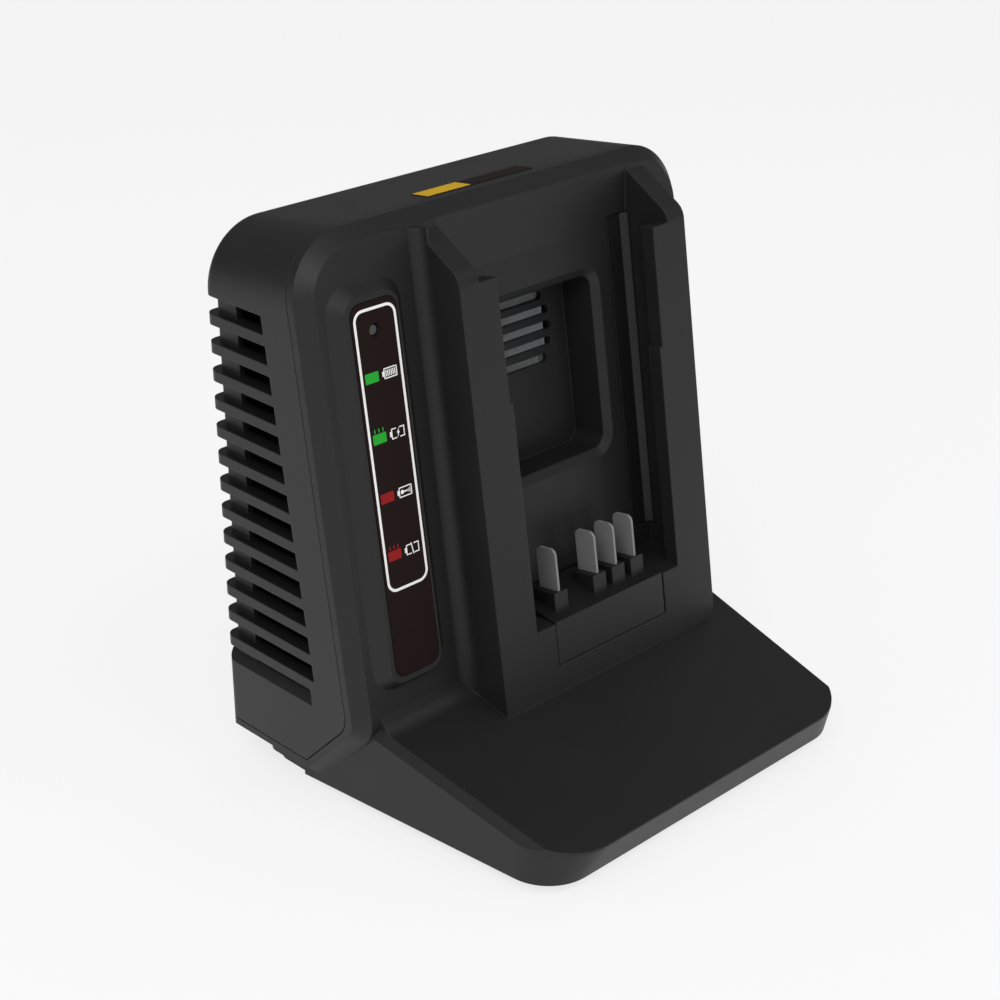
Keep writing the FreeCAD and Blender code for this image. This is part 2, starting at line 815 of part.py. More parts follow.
def padRoom():
    """The pad is hollow behind, up to its own wall."""
    top = (padLeft + padSlope + 2, padRight - padSlope - 1, padLow + 6, padHigh - padSlope - 3, 3.0)
    return leaned(roundedBlock(*top[:2], padTopP + frontWall, cavityP + 1, *top[2:]))


def panelRoom():
    """The front wall left of the dock is no thicker than the others."""
    return leaned(roundedBlock(-half + bezelChamfer + wall, dockLeft - wall, bezelFront + frontWall, cavityP + 1,
                               padLow, panelTopU() - frontWall, padRadius))


def ledScrewSpots():
    return ((guideX + 3.5, (windowUs[0] + windowUs[1]) / 2), (guideX + 3.5, (windowUs[2] + windowUs[3]) / 2))


def ventFrontY(z):
    """Front end of a vent at a height: it keeps its distance from the parting line."""
    y = frontY(seamP, z) + ventSetback
    return y


def ventSlots():
    slots = []
    for i in range(ventCount):
        top = ventTop - i * ventPitch
        bottom = top - ventHeight
        lowEnd = ventLowShift if i == ventCount - 1 else 0
        slots.append((ventFrontY(top) + lowEnd, ventFrontY(bottom) + lowEnd, bottom, top))
    return slots


def ventCuts(side):
    """Shallow notches that run round the rear corner, and the open slots at their front."""
    deep = half - ventSink
    core = block(-deep, deep, -reach, bodyRear - ventSink, -reach, reach)
    edges = [e for e in core.Edges if near(e.BoundBox.YMin, bodyRear - ventSink) and e.BoundBox.ZLength > reach]
    core = core.makeFillet(rearRadius - ventSink, edges)
    cuts = []
    slots = ventSlots()
    for slot in slots:
        yTop, yBottom, bottom, top = slot
        points = [(yBottom, bottom), (yTop, top), (reach, top), (reach, bottom)]
        x0, x1 = sorted((side * (half - ventWrap), side * reach))
        notch = sideSolid(points, x0, x1).cut(core)
        floor = bottom
        if slot is slots[-1]:
            floor = bottom + ventBevel
            notch = notch.cut(slotFloor(side, bottom))
        cuts.append(notch)
        points = [(yBottom, floor), (yTop, top), (ventThroughRear, top), (ventThroughRear, floor)]
        x0, x1 = sorted((side * (half - ventWrap), side * reach))
        cuts.append(sideSolid(points, x0, x1))
    return cuts


def slotFloor(side, bottom):
    """The slanted floor of the lowest slot."""
    corners = [V(side * half, -reach, bottom), V(side * (half - ventSink), -reach, bottom + ventBevel),
               V(side * (half - ventWrap), -reach, bottom + ventBevel), V(side * (half - ventWrap), -reach, bottom)]
    return Part.Face(Part.makePolygon(corners + corners[:1])).extrude(V(0, 2 * reach, 0))


def ventLinerSolid(side):
    """A thicker wall behind the vents, which carries the ribs."""
    x0, x1 = sorted((side * (half - ventSink - ventLiner), side * (half - 1)))
    low = ventTop - (ventCount - 1) * ventPitch - ventHeight - ventEdge
    high = ventTop + ventEdge
    points = [(ventFrontY(low) - ventEdge, low), (ventFrontY(high) - ventEdge, high),
              (bodyRear - 1, high), (bodyRear - 1, low)]
    return sideSolid(points, x0, x1)


def rearLiner():
    """The back wall is thicker beside the vents' ends."""
    low = ventTop - (ventCount - 1) * ventPitch - ventHeight - ventEdge
    high = ventTop + ventEdge
    solids = []
    for side in (-1, 1):
        x0, x1 = sorted((side * (half - ventWrap - 2), side * (half - 1)))
        solids.append(block(x0, x1, bodyRear - ventSink - ventLiner, bodyRear - 1, low, high))
    return solids


def rearCover(outerBody, innerBody):
    cover = outerBody.cut(frontRegion(seamGap)).cut(innerBody)
    liners = [ventLinerSolid(-1), ventLinerSolid(1)] + rearLiner()
    room = outerBody.cut(frontRegion(seamGap))
    liners = [s.common(room) for s in liners]
    wells = []
    holes = []
    for side in (-1, 1):
        for z in coverScrewZs:
            x = side * coverScrewX
            wells.append(rodAlongY(x, z, wellRadius + 1.8, bossEnd + fitGap, bodyRear - 1))
            holes.append(rodAlongY(x, z, wellRadius, bossEnd + fitGap + wellFloor, bodyRear + 5))
            holes.append(rodAlongY(x, z, screwShank + 0.3, bossEnd - 1, bodyRear))
    cover = cover.fuse(liners + [w.common(room) for w in wells])
    cuts = ventCuts(-1) + ventCuts(1) + holes
    cuts.append(inletSlab(inletWall + fitGap, bodyRear - inletDeep, bodyRear + 5))
    cuts.append(inletSlab(inletFlange + fitGap, bodyRear - inletFlangeThick, bodyRear + 5))
    return cover.cut(cuts).removeSplitter()


def inletSlab(grow, y0, y1):
    """The inlet's outline with full-round ends, grown all round."""
    radius = inletHigh / 2 + grow - 0.01
    return roundedBlock(inletX - inletWide / 2 - grow, inletX + inletWide / 2 + grow, y0, y1,
                        inletZ - inletHigh / 2 - grow, inletZ + inletHigh / 2 + grow, radius)


def mainsInlet():
    """A two-pin appliance inlet: a flanged cup let into the back wall."""
    cup = inletSlab(inletWall, bodyRear - inletDeep - inletWall, bodyRear)
    flange = inletSlab(inletFlange, bodyRear - inletFlangeThick, bodyRear)
    room = inletSlab(0, bodyRear - inletDeep, bodyRear + 1)
    pins = [rodAlongY(inletX + side * inletPinSpread, inletZ, inletPinRadius, pinTail(), bodyRear)
            for side in (-1, 1)]
    return cup.fuse(flange).cut([room] + pins).removeSplitter()


def pinTail():
    return bodyRear - inletDeep - inletWall - inletPinTail


def inletPin(side):
    x = inletX + side * inletPinSpread
    pin = rodAlongY(x, inletZ, inletPinRadius, pinTail(), bodyRear - inletPinSink)
    tip = [e for e in pin.Edges if near(e.CenterOfMass.y, bodyRear - inletPinSink)]
    return pin.makeFillet(inletPinRadius * 0.6, tip)


def terminalBlock():
    x0 = dockCentre - terminalWidth / 2
    x1 = dockCentre + terminalWidth / 2
    points = [(0, terminalLow), (0, terminalHigh), (terminalBack, terminalTopAt(terminalBack)),
              (terminalBack, terminalLow)]
    solid = sideSolid(points, x0, x1)
    for x in bladeXs():
        tower = block(x - towerWidth / 2, x + towerWidth / 2, towerFront, towerFront + towerDepth,
                      terminalHigh - 2, towerTop)
        solid = solid.fuse(tower)
    room = block(x0 + terminalWall, x1 - terminalWall, terminalWall, terminalBack + 1,
                 terminalLow + terminalWall, terminalHigh - terminalWall)
    slots = [block(x - bladeThick / 2 - bladeFit, x + bladeThick / 2 + bladeFit, bladeFront - bladeFit,
                   bladeFront + bladeWidth + bladeFit, terminalLow + terminalWall, towerTop + 1) for x in bladeXs()]
    return leaned(solid.cut([room] + slots).removeSplitter())


def bladeXs():
    return [dockCentre + step * bladePitch for step in bladeSteps]


def contactBlade(x):
    bottom = terminalLow + bladeFoot
    blade = block(x - bladeThick / 2, x + bladeThick / 2, bladeFront, bladeFront + bladeWidth, bottom, bladeTop)
    corners = [e for e in blade.Edges if near(e.CenterOfMass.z, bladeTop) and e.BoundBox.XLength > bladeThick / 2
               and e.BoundBox.YLength < 0.1]
    return leaned(blade.makeFillet(bladeCorner, corners))


def indicatorLabel():
    film = roundedBlock(labelLeft, labelRight, padTopP - labelProud, padTopP + labelThick - 0.02, labelLow, labelHigh,
                        labelRadius)
    return leaned(film.cut(rodAlongY(lensX, lensU, lensRadius + 0.1, padTopP - 3, padTopP + 3)))


def statusLens():
    lens = rodAlongY(lensX, lensU, lensRadius, padTopP + lensSink, padTopP + lensSink + lensLength)
    face = [e for e in lens.Edges if near(e.CenterOfMass.y, padTopP + lensSink)]
    return leaned(lens.makeFillet(0.7, face))


def ledBoard():
    p0 = cavityP + ledBoardGap
    board = block(guideX - ledBoardWidth / 2, guideX + ledBoardWidth / 2, p0, p0 + ledBoardThick,
                  windowUs[-1] - ledBoardEdge, lensU + lensRadius)
    holes = [rodAlongY(x, u, 1.2, p0 - 1, p0 + 3) for x, u in ledScrewSpots()]
    return leaned(board.cut(holes))


def leds():
    p0 = cavityP + ledBoardGap
    solids = []
    for x, u in [(guideX, u) for u in windowUs] + [(lensX, lensU)]:
        solids.append(leaned(rodAlongY(x, u, ledRadius, p0 - ledHeight, p0)))
    return Part.makeCompound(solids)


def ledScrews():
    p0 = cavityP + ledBoardGap + ledBoardThick
    solids = []
    for x, u in ledScrewSpots():
        head = rodAlongY(x, u, 1.9, p0, p0 + 1.4)
        solids.append(leaned(head.fuse(rodAlongY(x, u, 0.95, p0 - 5, p0)).removeSplitter()))
    return Part.makeCompound(solids)


def roofLabel():
    """A thin film on the roof, which follows the roof's fall."""
    y0 = roofLabelFront
    y1 = roofLabelBack
    points = [(y0, roofZ(y0)), (y1, roofZ(y1)), (y1, roofZ(y1) + roofLabelThick), (y0, roofZ(y0) + roofLabelThick)]
    return sideSolid(points, roofLabelLeft, roofLabelRight)


def screwAlongY(x, z, seat):
    head = rodAlongY(x, z, screwHead, seat, seat + screwHeadHigh)
    shank = rodAlongY(x, z, screwShank, bossEnd - screwLength + 2, seat)
    cross = block(x - 2, x + 2, seat + screwHeadHigh - 1.4, seat + 5, z - 0.5, z + 0.5)
    upright = block(x - 0.5, x + 0.5, seat + screwHeadHigh - 1.4, seat + 5, z - 2, z + 2)
    return head.fuse(shank).cut([cross, upright]).removeSplitter()


def housingScrews():
    seat = bossEnd + fitGap + wellFloor
    return Part.makeCompound([screwAlongY(side * coverScrewX, z, seat) for side in (-1, 1) for z in coverScrewZs])


def coolingFins():
    """A folded sheet: its folds run up and down behind the grille."""
    front = grilleBack + 0.3
    back = front + finsDepth
    folds = int(2 * finsHalf / (finsPitch / 2))
    x0 = dockCentre - folds * finsPitch / 4
    line = []
    for i in range(folds + 1):
        line.append((x0 + i * finsPitch / 2, front if i % 2 else back - finsSheet * 2))
    ahead = [V(x, y, 0) for x, y in line]
    behind = [V(x, y + finsSheet * 2, 0) for x, y in reversed(line)]
    outline = Part.makePolygon(ahead + behind + ahead[:1])
    sheet = Part.Face(outline).extrude(V(0, 0, finsHigh))
    sheet.translate(V(0, 0, grilleU - finsHigh / 2))
    return leaned(sheet)


def fanFrame():
    p0 = postEnd
    p1 = p0 + fanDepth
    h = fanSize / 2
    frame = roundedBlock(dockCentre - h, dockCentre + h, p0, p1, grilleU - h, grilleU + h, 4.0)
    frame = frame.cut(rodAlongY(dockCentre, grilleU, fanBore, p0 - 1, p1 + 1))
    motor = rodAlongY(dockCentre, grilleU, fanMotor, p1 - fanFloor, p1)
    holder = rodAlongY(dockCentre, grilleU, bushRadius + 1.2, p0 + 5, p1)
    struts = []
    for i in range(4):
        strut = block(dockCentre, dockCentre + fanBore + 0.5, p1 - fanFloor, p1, grilleU - fanStrut / 2,
                      grilleU + fanStrut / 2)
        strut.rotate(V(dockCentre, 0, grilleU), V(0, 1, 0), 45 + 90 * i)
        struts.append(strut)
    frame = frame.fuse([motor, holder] + struts)
    cuts = [rodAlongY(dockCentre, grilleU, bushRadius, p0 - 1, p1 - fanFloor)]
    cuts += [rodAlongY(dockCentre + sx * fanHole, grilleU + sz * fanHole, fanHoleRadius, p0 - 1, p1 + 1)
             for sx in (-1, 1) for sz in (-1, 1)]
    return leaned(frame.cut(cuts).removeSplitter())


def fanBush():
    p0 = postEnd + 5
    p1 = postEnd + fanDepth - fanFloor
    bush = rodAlongY(dockCentre, grilleU, bushRadius, p0, p1)
    return leaned(bush.cut(rodAlongY(dockCentre, grilleU, shaftRadius + runFit, p0 - 1, p1 + 1)))


def fanRotor():
    """Hub cup, shaft and slanted blades."""
    p0 = postEnd + 1.5
    p1 = postEnd + fanDepth - fanFloor - 0.8
    cup = rodAlongY(dockCentre, grilleU, fanHub, p0, p1)
    cup = cup.cut(rodAlongY(dockCentre, grilleU, fanHub - 1.4, p0 + 1.6, p1 + 1))
    shaft = rodAlongY(dockCentre, grilleU, shaftRadius, p0 + 1, p1)
    tip = fanBore - fanTipGap
    ring = rodAlongY(dockCentre, grilleU, tip, p0, p1).cut(rodAlongY(dockCentre, grilleU, fanHub - 0.7, p0, p1))
    middle = (p0 + p1) / 2
    blades = []
    for i in range(fanBlades):
        blade = block(dockCentre, dockCentre + tip + 2, middle - fanBladeThick / 2, middle + fanBladeThick / 2,
                      grilleU - 12, grilleU + 12)
        blade.rotate(V(dockCentre, middle, grilleU), V(1, 0, 0), fanBladeAngle)
        blade.rotate(V(dockCentre, 0, grilleU), V(0, 1, 0), 360 / fanBlades * i)
        blades.append(blade.common(ring))
    return leaned(cup.fuse([shaft] + blades).removeSplitter())


def fanScrews():
    p1 = postEnd + fanDepth
    solids = []
    for sx in (-1, 1):
        for sz in (-1, 1):
            x = dockCentre + sx * fanHole
            u = grilleU + sz * fanHole
            head = rodAlongY(x, u, fanScrewHead, p1, p1 + 1.6)
            solids.append(leaned(head.fuse(rodAlongY(x, u, fanScrewShank, postEnd - 5, p1)).removeSplitter()))
    return Part.makeCompound(solids)


def mainBoard():
    board = block(boardLeft, boardRight, boardFront, boardRear, boardZ, boardZ + boardThick)
    holes = [rodAlongZ(x, y, boardScrewShank + 0.4, boardZ - 1, boardZ + 3) for x, y in boardPosts()]
    return board.cut(holes)


def boardScrews():
    z = boardZ + boardThick
    solids = []
    for x, y in boardPosts():
        head = rodAlongZ(x, y, boardScrewHead, z, z + 1.6)
        solids.append(head.fuse(rodAlongZ(x, y, boardScrewShank, z - boardScrewLength + 1, z)).removeSplitter())
    return Part.makeCompound(solids)


def boardTop():
    return boardZ + boardThick


def transformerCore():
    z0 = boardTop() + bobbinFlange
    outer = block(coreX - coreWidth / 2, coreX + coreWidth / 2, coreY - coreDepth / 2, coreY + coreDepth / 2,
                  z0, z0 + coreHigh)
    cuts = []
    for side in (-1, 1):
        x0, x1 = sorted((coreX + side * coreLimb, coreX + side * (coreWidth / 2 - coreLimb)))
        cuts.append(block(x0, x1, coreY - coreDepth, coreY + coreDepth, z0 + coreLimb, z0 + coreHigh - coreLimb))
    return outer.cut(cuts)


def transformerWinding():
    z0 = boardTop() + bobbinFlange + coreLimb + bobbinFlange
    z1 = boardTop() + bobbinFlange + coreHigh - coreLimb - bobbinFlange
    w = windingWidth / 2
    d = windingDepth / 2
    coil = block(coreX - w, coreX + w, coreY - d, coreY + d, z0, z1)
    upright = [e for e in coil.Edges if e.BoundBox.ZLength > 5]
    coil = coil.makeFillet(4.0, upright)
    return coil.cut(bobbinTube(z0 - 1, z1 + 1))


def bobbinTube(z0, z1):
    across = coreLimb + bobbinWall
    depth = coreDepth / 2 + bobbinWall
    return block(coreX - across, coreX + across, coreY - depth, coreY + depth, z0, z1)


def transformerBobbin():
    """A former with a flange at each end, and feet on the board."""
    z0 = boardTop() + bobbinFlange + coreLimb
    z1 = boardTop() + bobbinFlange + coreHigh - coreLimb
    w = windingWidth / 2
    d = windingDepth / 2
    former = bobbinTube(z0, z1)
    former = former.fuse([block(coreX - w, coreX + w, coreY - d, coreY + d, z0, z0 + bobbinFlange),
                          block(coreX - w, coreX + w, coreY - d, coreY + d, z1 - bobbinFlange, z1)])
    former = former.cut(block(coreX - coreLimb, coreX + coreLimb, coreY - coreDepth / 2, coreY + coreDepth / 2,
                              z0 - 1, z1 + 1))
    feet = [block(coreX - w, coreX + w, coreY + side * (d - 2) - 2, coreY + side * (d - 2) + 2, boardTop(), z0 + 1)
            for side in (-1, 1)]
    return former.fuse(feet).removeSplitter()


def can(x, y, radius, height):
    body = rodAlongZ(x, y, radius, boardTop(), boardTop() + height)
    return body.makeFillet(radius * 0.12, [e for e in body.Edges if near(e.CenterOfMass.z, boardTop() + height)])


def chokeCore():
    z = boardTop() + chokeRadius + chokeCoat
    ring = rodAlongY(chokeX, z, chokeRadius, chokeY - chokeDepth / 2, chokeY + chokeDepth / 2)
    return ring.cut(rodAlongY(chokeX, z, chokeHole, chokeY - chokeDepth, chokeY + chokeDepth))


def chokeWinding():
    """Two half coats of wire round the ring."""
    z = boardTop() + chokeRadius + chokeCoat
    d = chokeDepth / 2 + chokeCoat
    coat = rodAlongY(chokeX, z, chokeRadius + chokeCoat, chokeY - d, chokeY + d)
    coat = coat.cut(rodAlongY(chokeX, z, chokeHole - chokeCoat, chokeY - d - 1, chokeY + d + 1))
    gap = block(chokeX - 2, chokeX + 2, chokeY - d - 1, chokeY + d + 1, z - 30, z + 30)
    return coat.cut([gap, chokeCore()])


def sinkPlate():
    """A finned aluminium plate that stands on the board."""
    y0 = boardFront + 12
    y1 = boardRear - 12
    plate = block(sinkX - sinkThick, sinkX, y0, y1, boardTop(), boardTop() + sinkHigh)
    step = (y1 - y0 - 2) / (sinkFins - 1)
    fins = [block(sinkX - 0.5, sinkX + sinkFinReach, y0 + i * step, y0 + i * step + 2, boardTop() + 4,
                  boardTop() + sinkHigh) for i in range(sinkFins)]
    return plate.fuse(fins).removeSplitter()


def transistor(y):
    x1 = sinkX - sinkThick
    z0 = boardTop() + 6
    body = block(x1 - transistorThick, x1, y - transistorWidth / 2, y + transistorWidth / 2, z0,
                 z0 + transistorHigh)
    legs = []
    for step in (-1, 0, 1):
        middle = y + step * legPitch
        legs.append(block(x1 - legThick - legBack, x1 - legBack, middle - legWidth / 2, middle + legWidth / 2,
                          boardTop(), z0 + 1))
    return body.fuse(legs).removeSplitter()


def fuseTube():
    z = boardTop() + fuseRadius + 1.2
    return Part.makeCylinder(fuseRadius, fuseLength, V(fuseX - fuseLength / 2, fuseY, z), V(1, 0, 0))


def fuseClips():
    z = boardTop() + fuseRadius + 1.2
    clips = []
    for side in (-1, 1):
        x = fuseX + side * (fuseLength / 2 - 2.5)
        clip = block(x - 2, x + 2, fuseY - fuseRadius - 0.6, fuseY + fuseRadius + 0.6, boardTop(), z + 1)
        clip = clip.cut(Part.makeCylinder(fuseRadius + 0.05, 10, V(x - 5, fuseY, z), V(1, 0, 0)))
        clips.append(clip)
    return Part.makeCompound(clips)


def mainsLead(side):
    """From an inlet pin's tail down to the board."""
    x = inletX + side * inletPinSpread
    tail = pinTail()
    points = [V(x, tail, inletZ), V(x, tail - 8, inletZ), V(x, tail - 8, boardTop())]
    return bentTube(points, leadRadius, leadBend)


def outputLead(x):
    """From the foot of a blade back and down to the board."""
    start = leanPoint(x, bladeFront + bladeWidth + 0.1, terminalLow + bladeFoot + leadRadius + 0.6)
    out = leanPoint(x, terminalBack + 9, terminalLow + bladeFoot + leadRadius + 0.6)
    return bentTube([start, out, V(out.x, out.y, boardTop())], leadRadius, leadBend)


def allParts():
    outerBody = envelope(0, bezelFront, bezelChamfer)
    innerBody = envelope(wall, cavityP, innerChamfer(wall))
    parts = {
        "front_housing": frontHousing(outerBody, innerBody),
        "rear_cover": rearCover(outerBody, innerBody),
        "guide_strip_left": cornerStrip(-1, 0),
        "guide_strip_right": cornerStrip(1, 0),
        "terminal_block": terminalBlock(),
        "indicator_label": indicatorLabel(),
        "status_lens": statusLens(),
        "led_board": ledBoard(),
        "leds": leds(),
        "led_board_screws": ledScrews(),
        "light_guides": Part.makeCompound(guideRods(0, padTopP + labelThick, cavityP)),
        "roof_label": roofLabel(),
        "housing_screws": housingScrews(),
        "cooling_fins": coolingFins(),
        "fan_frame": fanFrame(),
        "fan_bush": fanBush(),
        "fan_rotor": fanRotor(),
        "fan_screws": fanScrews(),
        "main_board": mainBoard(),
        "board_screws": boardScrews(),
        "transformer_core": transformerCore(),
        "transformer_winding": transformerWinding(),
        "transformer_bobbin": transformerBobbin(),
        "choke_core": chokeCore(),
        "choke_winding": chokeWinding(),
        "heatsink": sinkPlate(),
        "fuse_tube": fuseTube(),
        "fuse_clips": fuseClips(),
        "mains_inlet": mainsInlet(),
        "inlet_pin_left": inletPin(-1),
        "inlet_pin_right": inletPin(1),
        "mains_lead_left": mainsLead(-1),
        "mains_lead_right": mainsLead(1),
    }
    for i, x in enumerate(bladeXs(), 1):
        parts[f"contact_blade_{i}"] = contactBlade(x)
    for name, i in (("output_lead_left", 0), ("output_lead_right", 3)):
        parts[name] = outputLead(bladeXs()[i])
    for i, x in enumerate(capacitorXs, 1):
        parts[f"mains_capacitor_{i}"] = can(x, capacitorY, capacitorRadius, capacitorHigh)
    for i, x in enumerate(smallCapXs, 1):
        parts[f"output_capacitor_{i}"] = can(x, smallCapY, smallCapRadius, smallCapHigh)
    for i, y in enumerate(transistorYs, 1):
        parts[f"power_transistor_{i}"] = transistor(y)
    for name, x, y, turn in feetSpots():
        pad = footSolid(x, y, turn, 0, 0, footHeight)
        parts[name] = pad.fuse(footSolid(x, y, turn, footPlugShrink, footHeight - 0.5, footHeight + footPlug))
        parts[name] = parts[name].removeSplitter()
    return parts


os.makedirs("parts", exist_ok=True)
for name, shape in allParts().items():
    print(name, "solids", len(shape.Solids), "valid", shape.isValid(), "volume", round(shape.Volume, 1))
    shape.exportStep(f"parts/{name}.step")
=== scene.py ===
import bpy
import bmesh
import math
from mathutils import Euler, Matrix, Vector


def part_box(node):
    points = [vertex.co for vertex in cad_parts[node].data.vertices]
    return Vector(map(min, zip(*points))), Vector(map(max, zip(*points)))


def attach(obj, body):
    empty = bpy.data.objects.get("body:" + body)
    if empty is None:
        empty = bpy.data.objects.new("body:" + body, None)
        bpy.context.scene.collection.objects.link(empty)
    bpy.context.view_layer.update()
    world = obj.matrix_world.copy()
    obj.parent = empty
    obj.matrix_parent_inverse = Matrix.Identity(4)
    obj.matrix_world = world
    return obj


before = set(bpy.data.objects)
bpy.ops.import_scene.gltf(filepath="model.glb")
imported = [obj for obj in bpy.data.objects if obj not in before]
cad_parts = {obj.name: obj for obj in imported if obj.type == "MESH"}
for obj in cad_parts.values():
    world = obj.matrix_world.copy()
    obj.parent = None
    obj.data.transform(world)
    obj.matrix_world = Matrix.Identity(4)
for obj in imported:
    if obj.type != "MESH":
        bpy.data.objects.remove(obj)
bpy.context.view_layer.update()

# The camera stands to the front left and looks down at the dock.
camera = {
    "place": (-0.4586, -0.4412, 0.3942),
    "pitch": 64.76,
    "yaw": -44.28,
    "lens": 73.08,
    "sensor": 36.0,
}

# The body's front leans back; p runs behind the dock's face and u up along the lean, in metres.
lean = {"angle": math.radians(8.57), "y": -0.0155, "z": 0.0295}


def leanPoint(x, p, u):
    c = math.cos(lean["angle"])
    s = math.sin(lean["angle"])
    return Vector((x, lean["y"] + p * c + u * s, lean["z"] - p * s + u * c))


def makeCamera():
    data = bpy.data.cameras.new("viewCamera")
    data.lens = camera["lens"]
    data.sensor_width = camera["sensor"]
    data.clip_start = 0.01
    data.clip_end = 50
    obj = bpy.data.objects.new("viewCamera", data)
    obj.location = camera["place"]
    obj.rotation_euler = Euler((math.radians(camera["pitch"]), 0, math.radians(camera["yaw"])))
    bpy.context.collection.objects.link(obj)
    bpy.context.scene.camera = obj
    bpy.context.scene.view_settings.view_transform = "Standard"


makeCamera()
print("camera placed")


def addNode(tree, kind, x=0, y=0, **settings):
    node = tree.nodes.new(kind)
    node.location = (x, y)
    for key, value in settings.items():
        setattr(node, key, value)
    return node


# A node group; each input is (name, kind, default)
def newGroup(name, inputs, outputs):
    group = bpy.data.node_groups.new(name, "ShaderNodeTree")
    for label, kind, default in inputs:
        socket = group.interface.new_socket(label, in_out="INPUT", socket_type=kind)
        socket.default_value = default
    for label, kind in outputs:
        group.interface.new_socket(label, in_out="OUTPUT", socket_type=kind)
    return group, addNode(group, "NodeGroupInput", -1200, 0), addNode(group, "NodeGroupOutput", 600, 0)


mould = {
    "fineDetail": 3,
    "fineRoughness": 0.6,
    "broadScale": 38,
    "broadDetail": 4,
    "cornerSamples": 6,
    "bumpDepth": 0.00012,
    "cornerTurn": (0.995, 0.80),  # how far the normal has turned where the painted corner highlight starts and is full
    "cloudRange": (0.3, 0.7),
    "speckle": (0.9, 1.1),
}


# Fine moulded grain with soft cloudy change of tone and gloss, and a lighter colour painted on corners as a
# highlight where they would catch the light
def makeGrainGroup():
    group, gin, gout = newGroup(
        "mouldGrain",
        [
            ("Colour", "NodeSocketColor", (0.02, 0.02, 0.02, 1)),
            ("Edge", "NodeSocketColor", (0.05, 0.05, 0.05, 1)),
            ("Roughness", "NodeSocketFloat", 0.5),
            ("Grain", "NodeSocketFloat", 2600.0),
            ("Depth", "NodeSocketFloat", 0.25),
            ("Cloud", "NodeSocketFloat", 0.15),
            ("Round", "NodeSocketFloat", 0.0006),
            ("CornerHighlightAmount", "NodeSocketFloat", 0.5),
        ],
        [("Colour", "NodeSocketColor"), ("Roughness", "NodeSocketFloat"), ("Normal", "NodeSocketVector")],
    )
    links = group.links
    coord = addNode(group, "ShaderNodeTexCoord", -1200, -300)
    fine = addNode(group, "ShaderNodeTexNoise", -900, -200)
    fine.inputs["Detail"].default_value = mould["fineDetail"]
    fine.inputs["Roughness"].default_value = mould["fineRoughness"]
    links.new(coord.outputs["Object"], fine.inputs["Vector"])
    links.new(gin.outputs["Grain"], fine.inputs["Scale"])
    broad = addNode(group, "ShaderNodeTexNoise", -900, -450)
    broad.inputs["Scale"].default_value = mould["broadScale"]
    broad.inputs["Detail"].default_value = mould["broadDetail"]
    links.new(coord.outputs["Object"], broad.inputs["Vector"])

    bevel = addNode(group, "ShaderNodeBevel", -900, -700, samples=mould["cornerSamples"])
    links.new(gin.outputs["Round"], bevel.inputs["Radius"])
    bump = addNode(group, "ShaderNodeBump", 200, -500)
    bump.inputs["Distance"].default_value = mould["bumpDepth"]
    links.new(gin.outputs["Depth"], bump.inputs["Strength"])
    links.new(fine.outputs["Fac"], bump.inputs["Height"])
    links.new(bevel.outputs["Normal"], bump.inputs["Normal"])

    geometry = addNode(group, "ShaderNodeNewGeometry", -900, -900)
    dot = addNode(group, "ShaderNodeVectorMath", -650, -800, operation="DOT_PRODUCT")
    links.new(bevel.outputs["Normal"], dot.inputs[0])
    links.new(geometry.outputs["Normal"], dot.inputs[1])
    # Painted highlight: where the rounded corner normal turns away from the true face normal, a lighter
    # corner colour is mixed into the plastic's colour
    cornerHighlight = addNode(group, "ShaderNodeMapRange", -400, -800)
    cornerHighlight.inputs["From Min"].default_value, cornerHighlight.inputs["From Max"].default_value = mould["cornerTurn"]
    links.new(dot.outputs["Value"], cornerHighlight.inputs["Value"])
    highlightMask = addNode(group, "ShaderNodeMath", -200, -800, operation="MULTIPLY")
    links.new(cornerHighlight.outputs["Result"], highlightMask.inputs[0])
    links.new(gin.outputs["CornerHighlightAmount"], highlightMask.inputs[1])

    tone = addNode(group, "ShaderNodeMapRange", -650, -450)
    tone.inputs["From Min"].default_value, tone.inputs["From Max"].default_value = mould["cloudRange"]
    tone.inputs["To Min"].default_value = -0.5
    tone.inputs["To Max"].default_value = 0.5
    links.new(broad.outputs["Fac"], tone.inputs["Value"])
    swing = addNode(group, "ShaderNodeMath", -400, -450, operation="MULTIPLY_ADD")
    links.new(tone.outputs["Result"], swing.inputs[0])
    links.new(gin.outputs["Cloud"], swing.inputs[1])
    swing.inputs[2].default_value = 1.0
    speck = addNode(group, "ShaderNodeMapRange", -650, -200)
    speck.inputs["To Min"].default_value, speck.inputs["To Max"].default_value = mould["speckle"]
    links.new(fine.outputs["Fac"], speck.inputs["Value"])
    gain = addNode(group, "ShaderNodeMath", -200, -350, operation="MULTIPLY")
    links.new(swing.outputs["Value"], gain.inputs[0])
    links.new(speck.outputs["Result"], gain.inputs[1])

    shade = addNode(group, "ShaderNodeVectorMath", 0, 0, operation="SCALE")
    links.new(gin.outputs["Colour"], shade.inputs[0])
    links.new(gain.outputs["Value"], shade.inputs["Scale"])
    # Mix the painted corner highlight colour into the plastic's colour
    blend = addNode(group, "ShaderNodeMix", 250, 0, data_type="RGBA")
    links.new(highlightMask.outputs["Value"], blend.inputs["Factor"])
    links.new(shade.outputs["Vector"], blend.inputs[6])
    links.new(gin.outputs["Edge"], blend.inputs[7])
    rough = addNode(group, "ShaderNodeMath", 200, -250, operation="MULTIPLY")
    links.new(gin.outputs["Roughness"], rough.inputs[0])
    links.new(swing.outputs["Value"], rough.inputs[1])
    links.new(blend.outputs[2], gout.inputs["Colour"])
    links.new(rough.outputs["Value"], gout.inputs["Roughness"])
    links.new(bump.outputs["Normal"], gout.inputs["Normal"])
    return group


brush = {
    "detail": 4,
    "baseTone": 0.9,
    "cornerSamples": 4,
    "cornerRadius": 0.0002,
    "bumpStrength": 0.15,
    "bumpDepth": 0.00005,
}


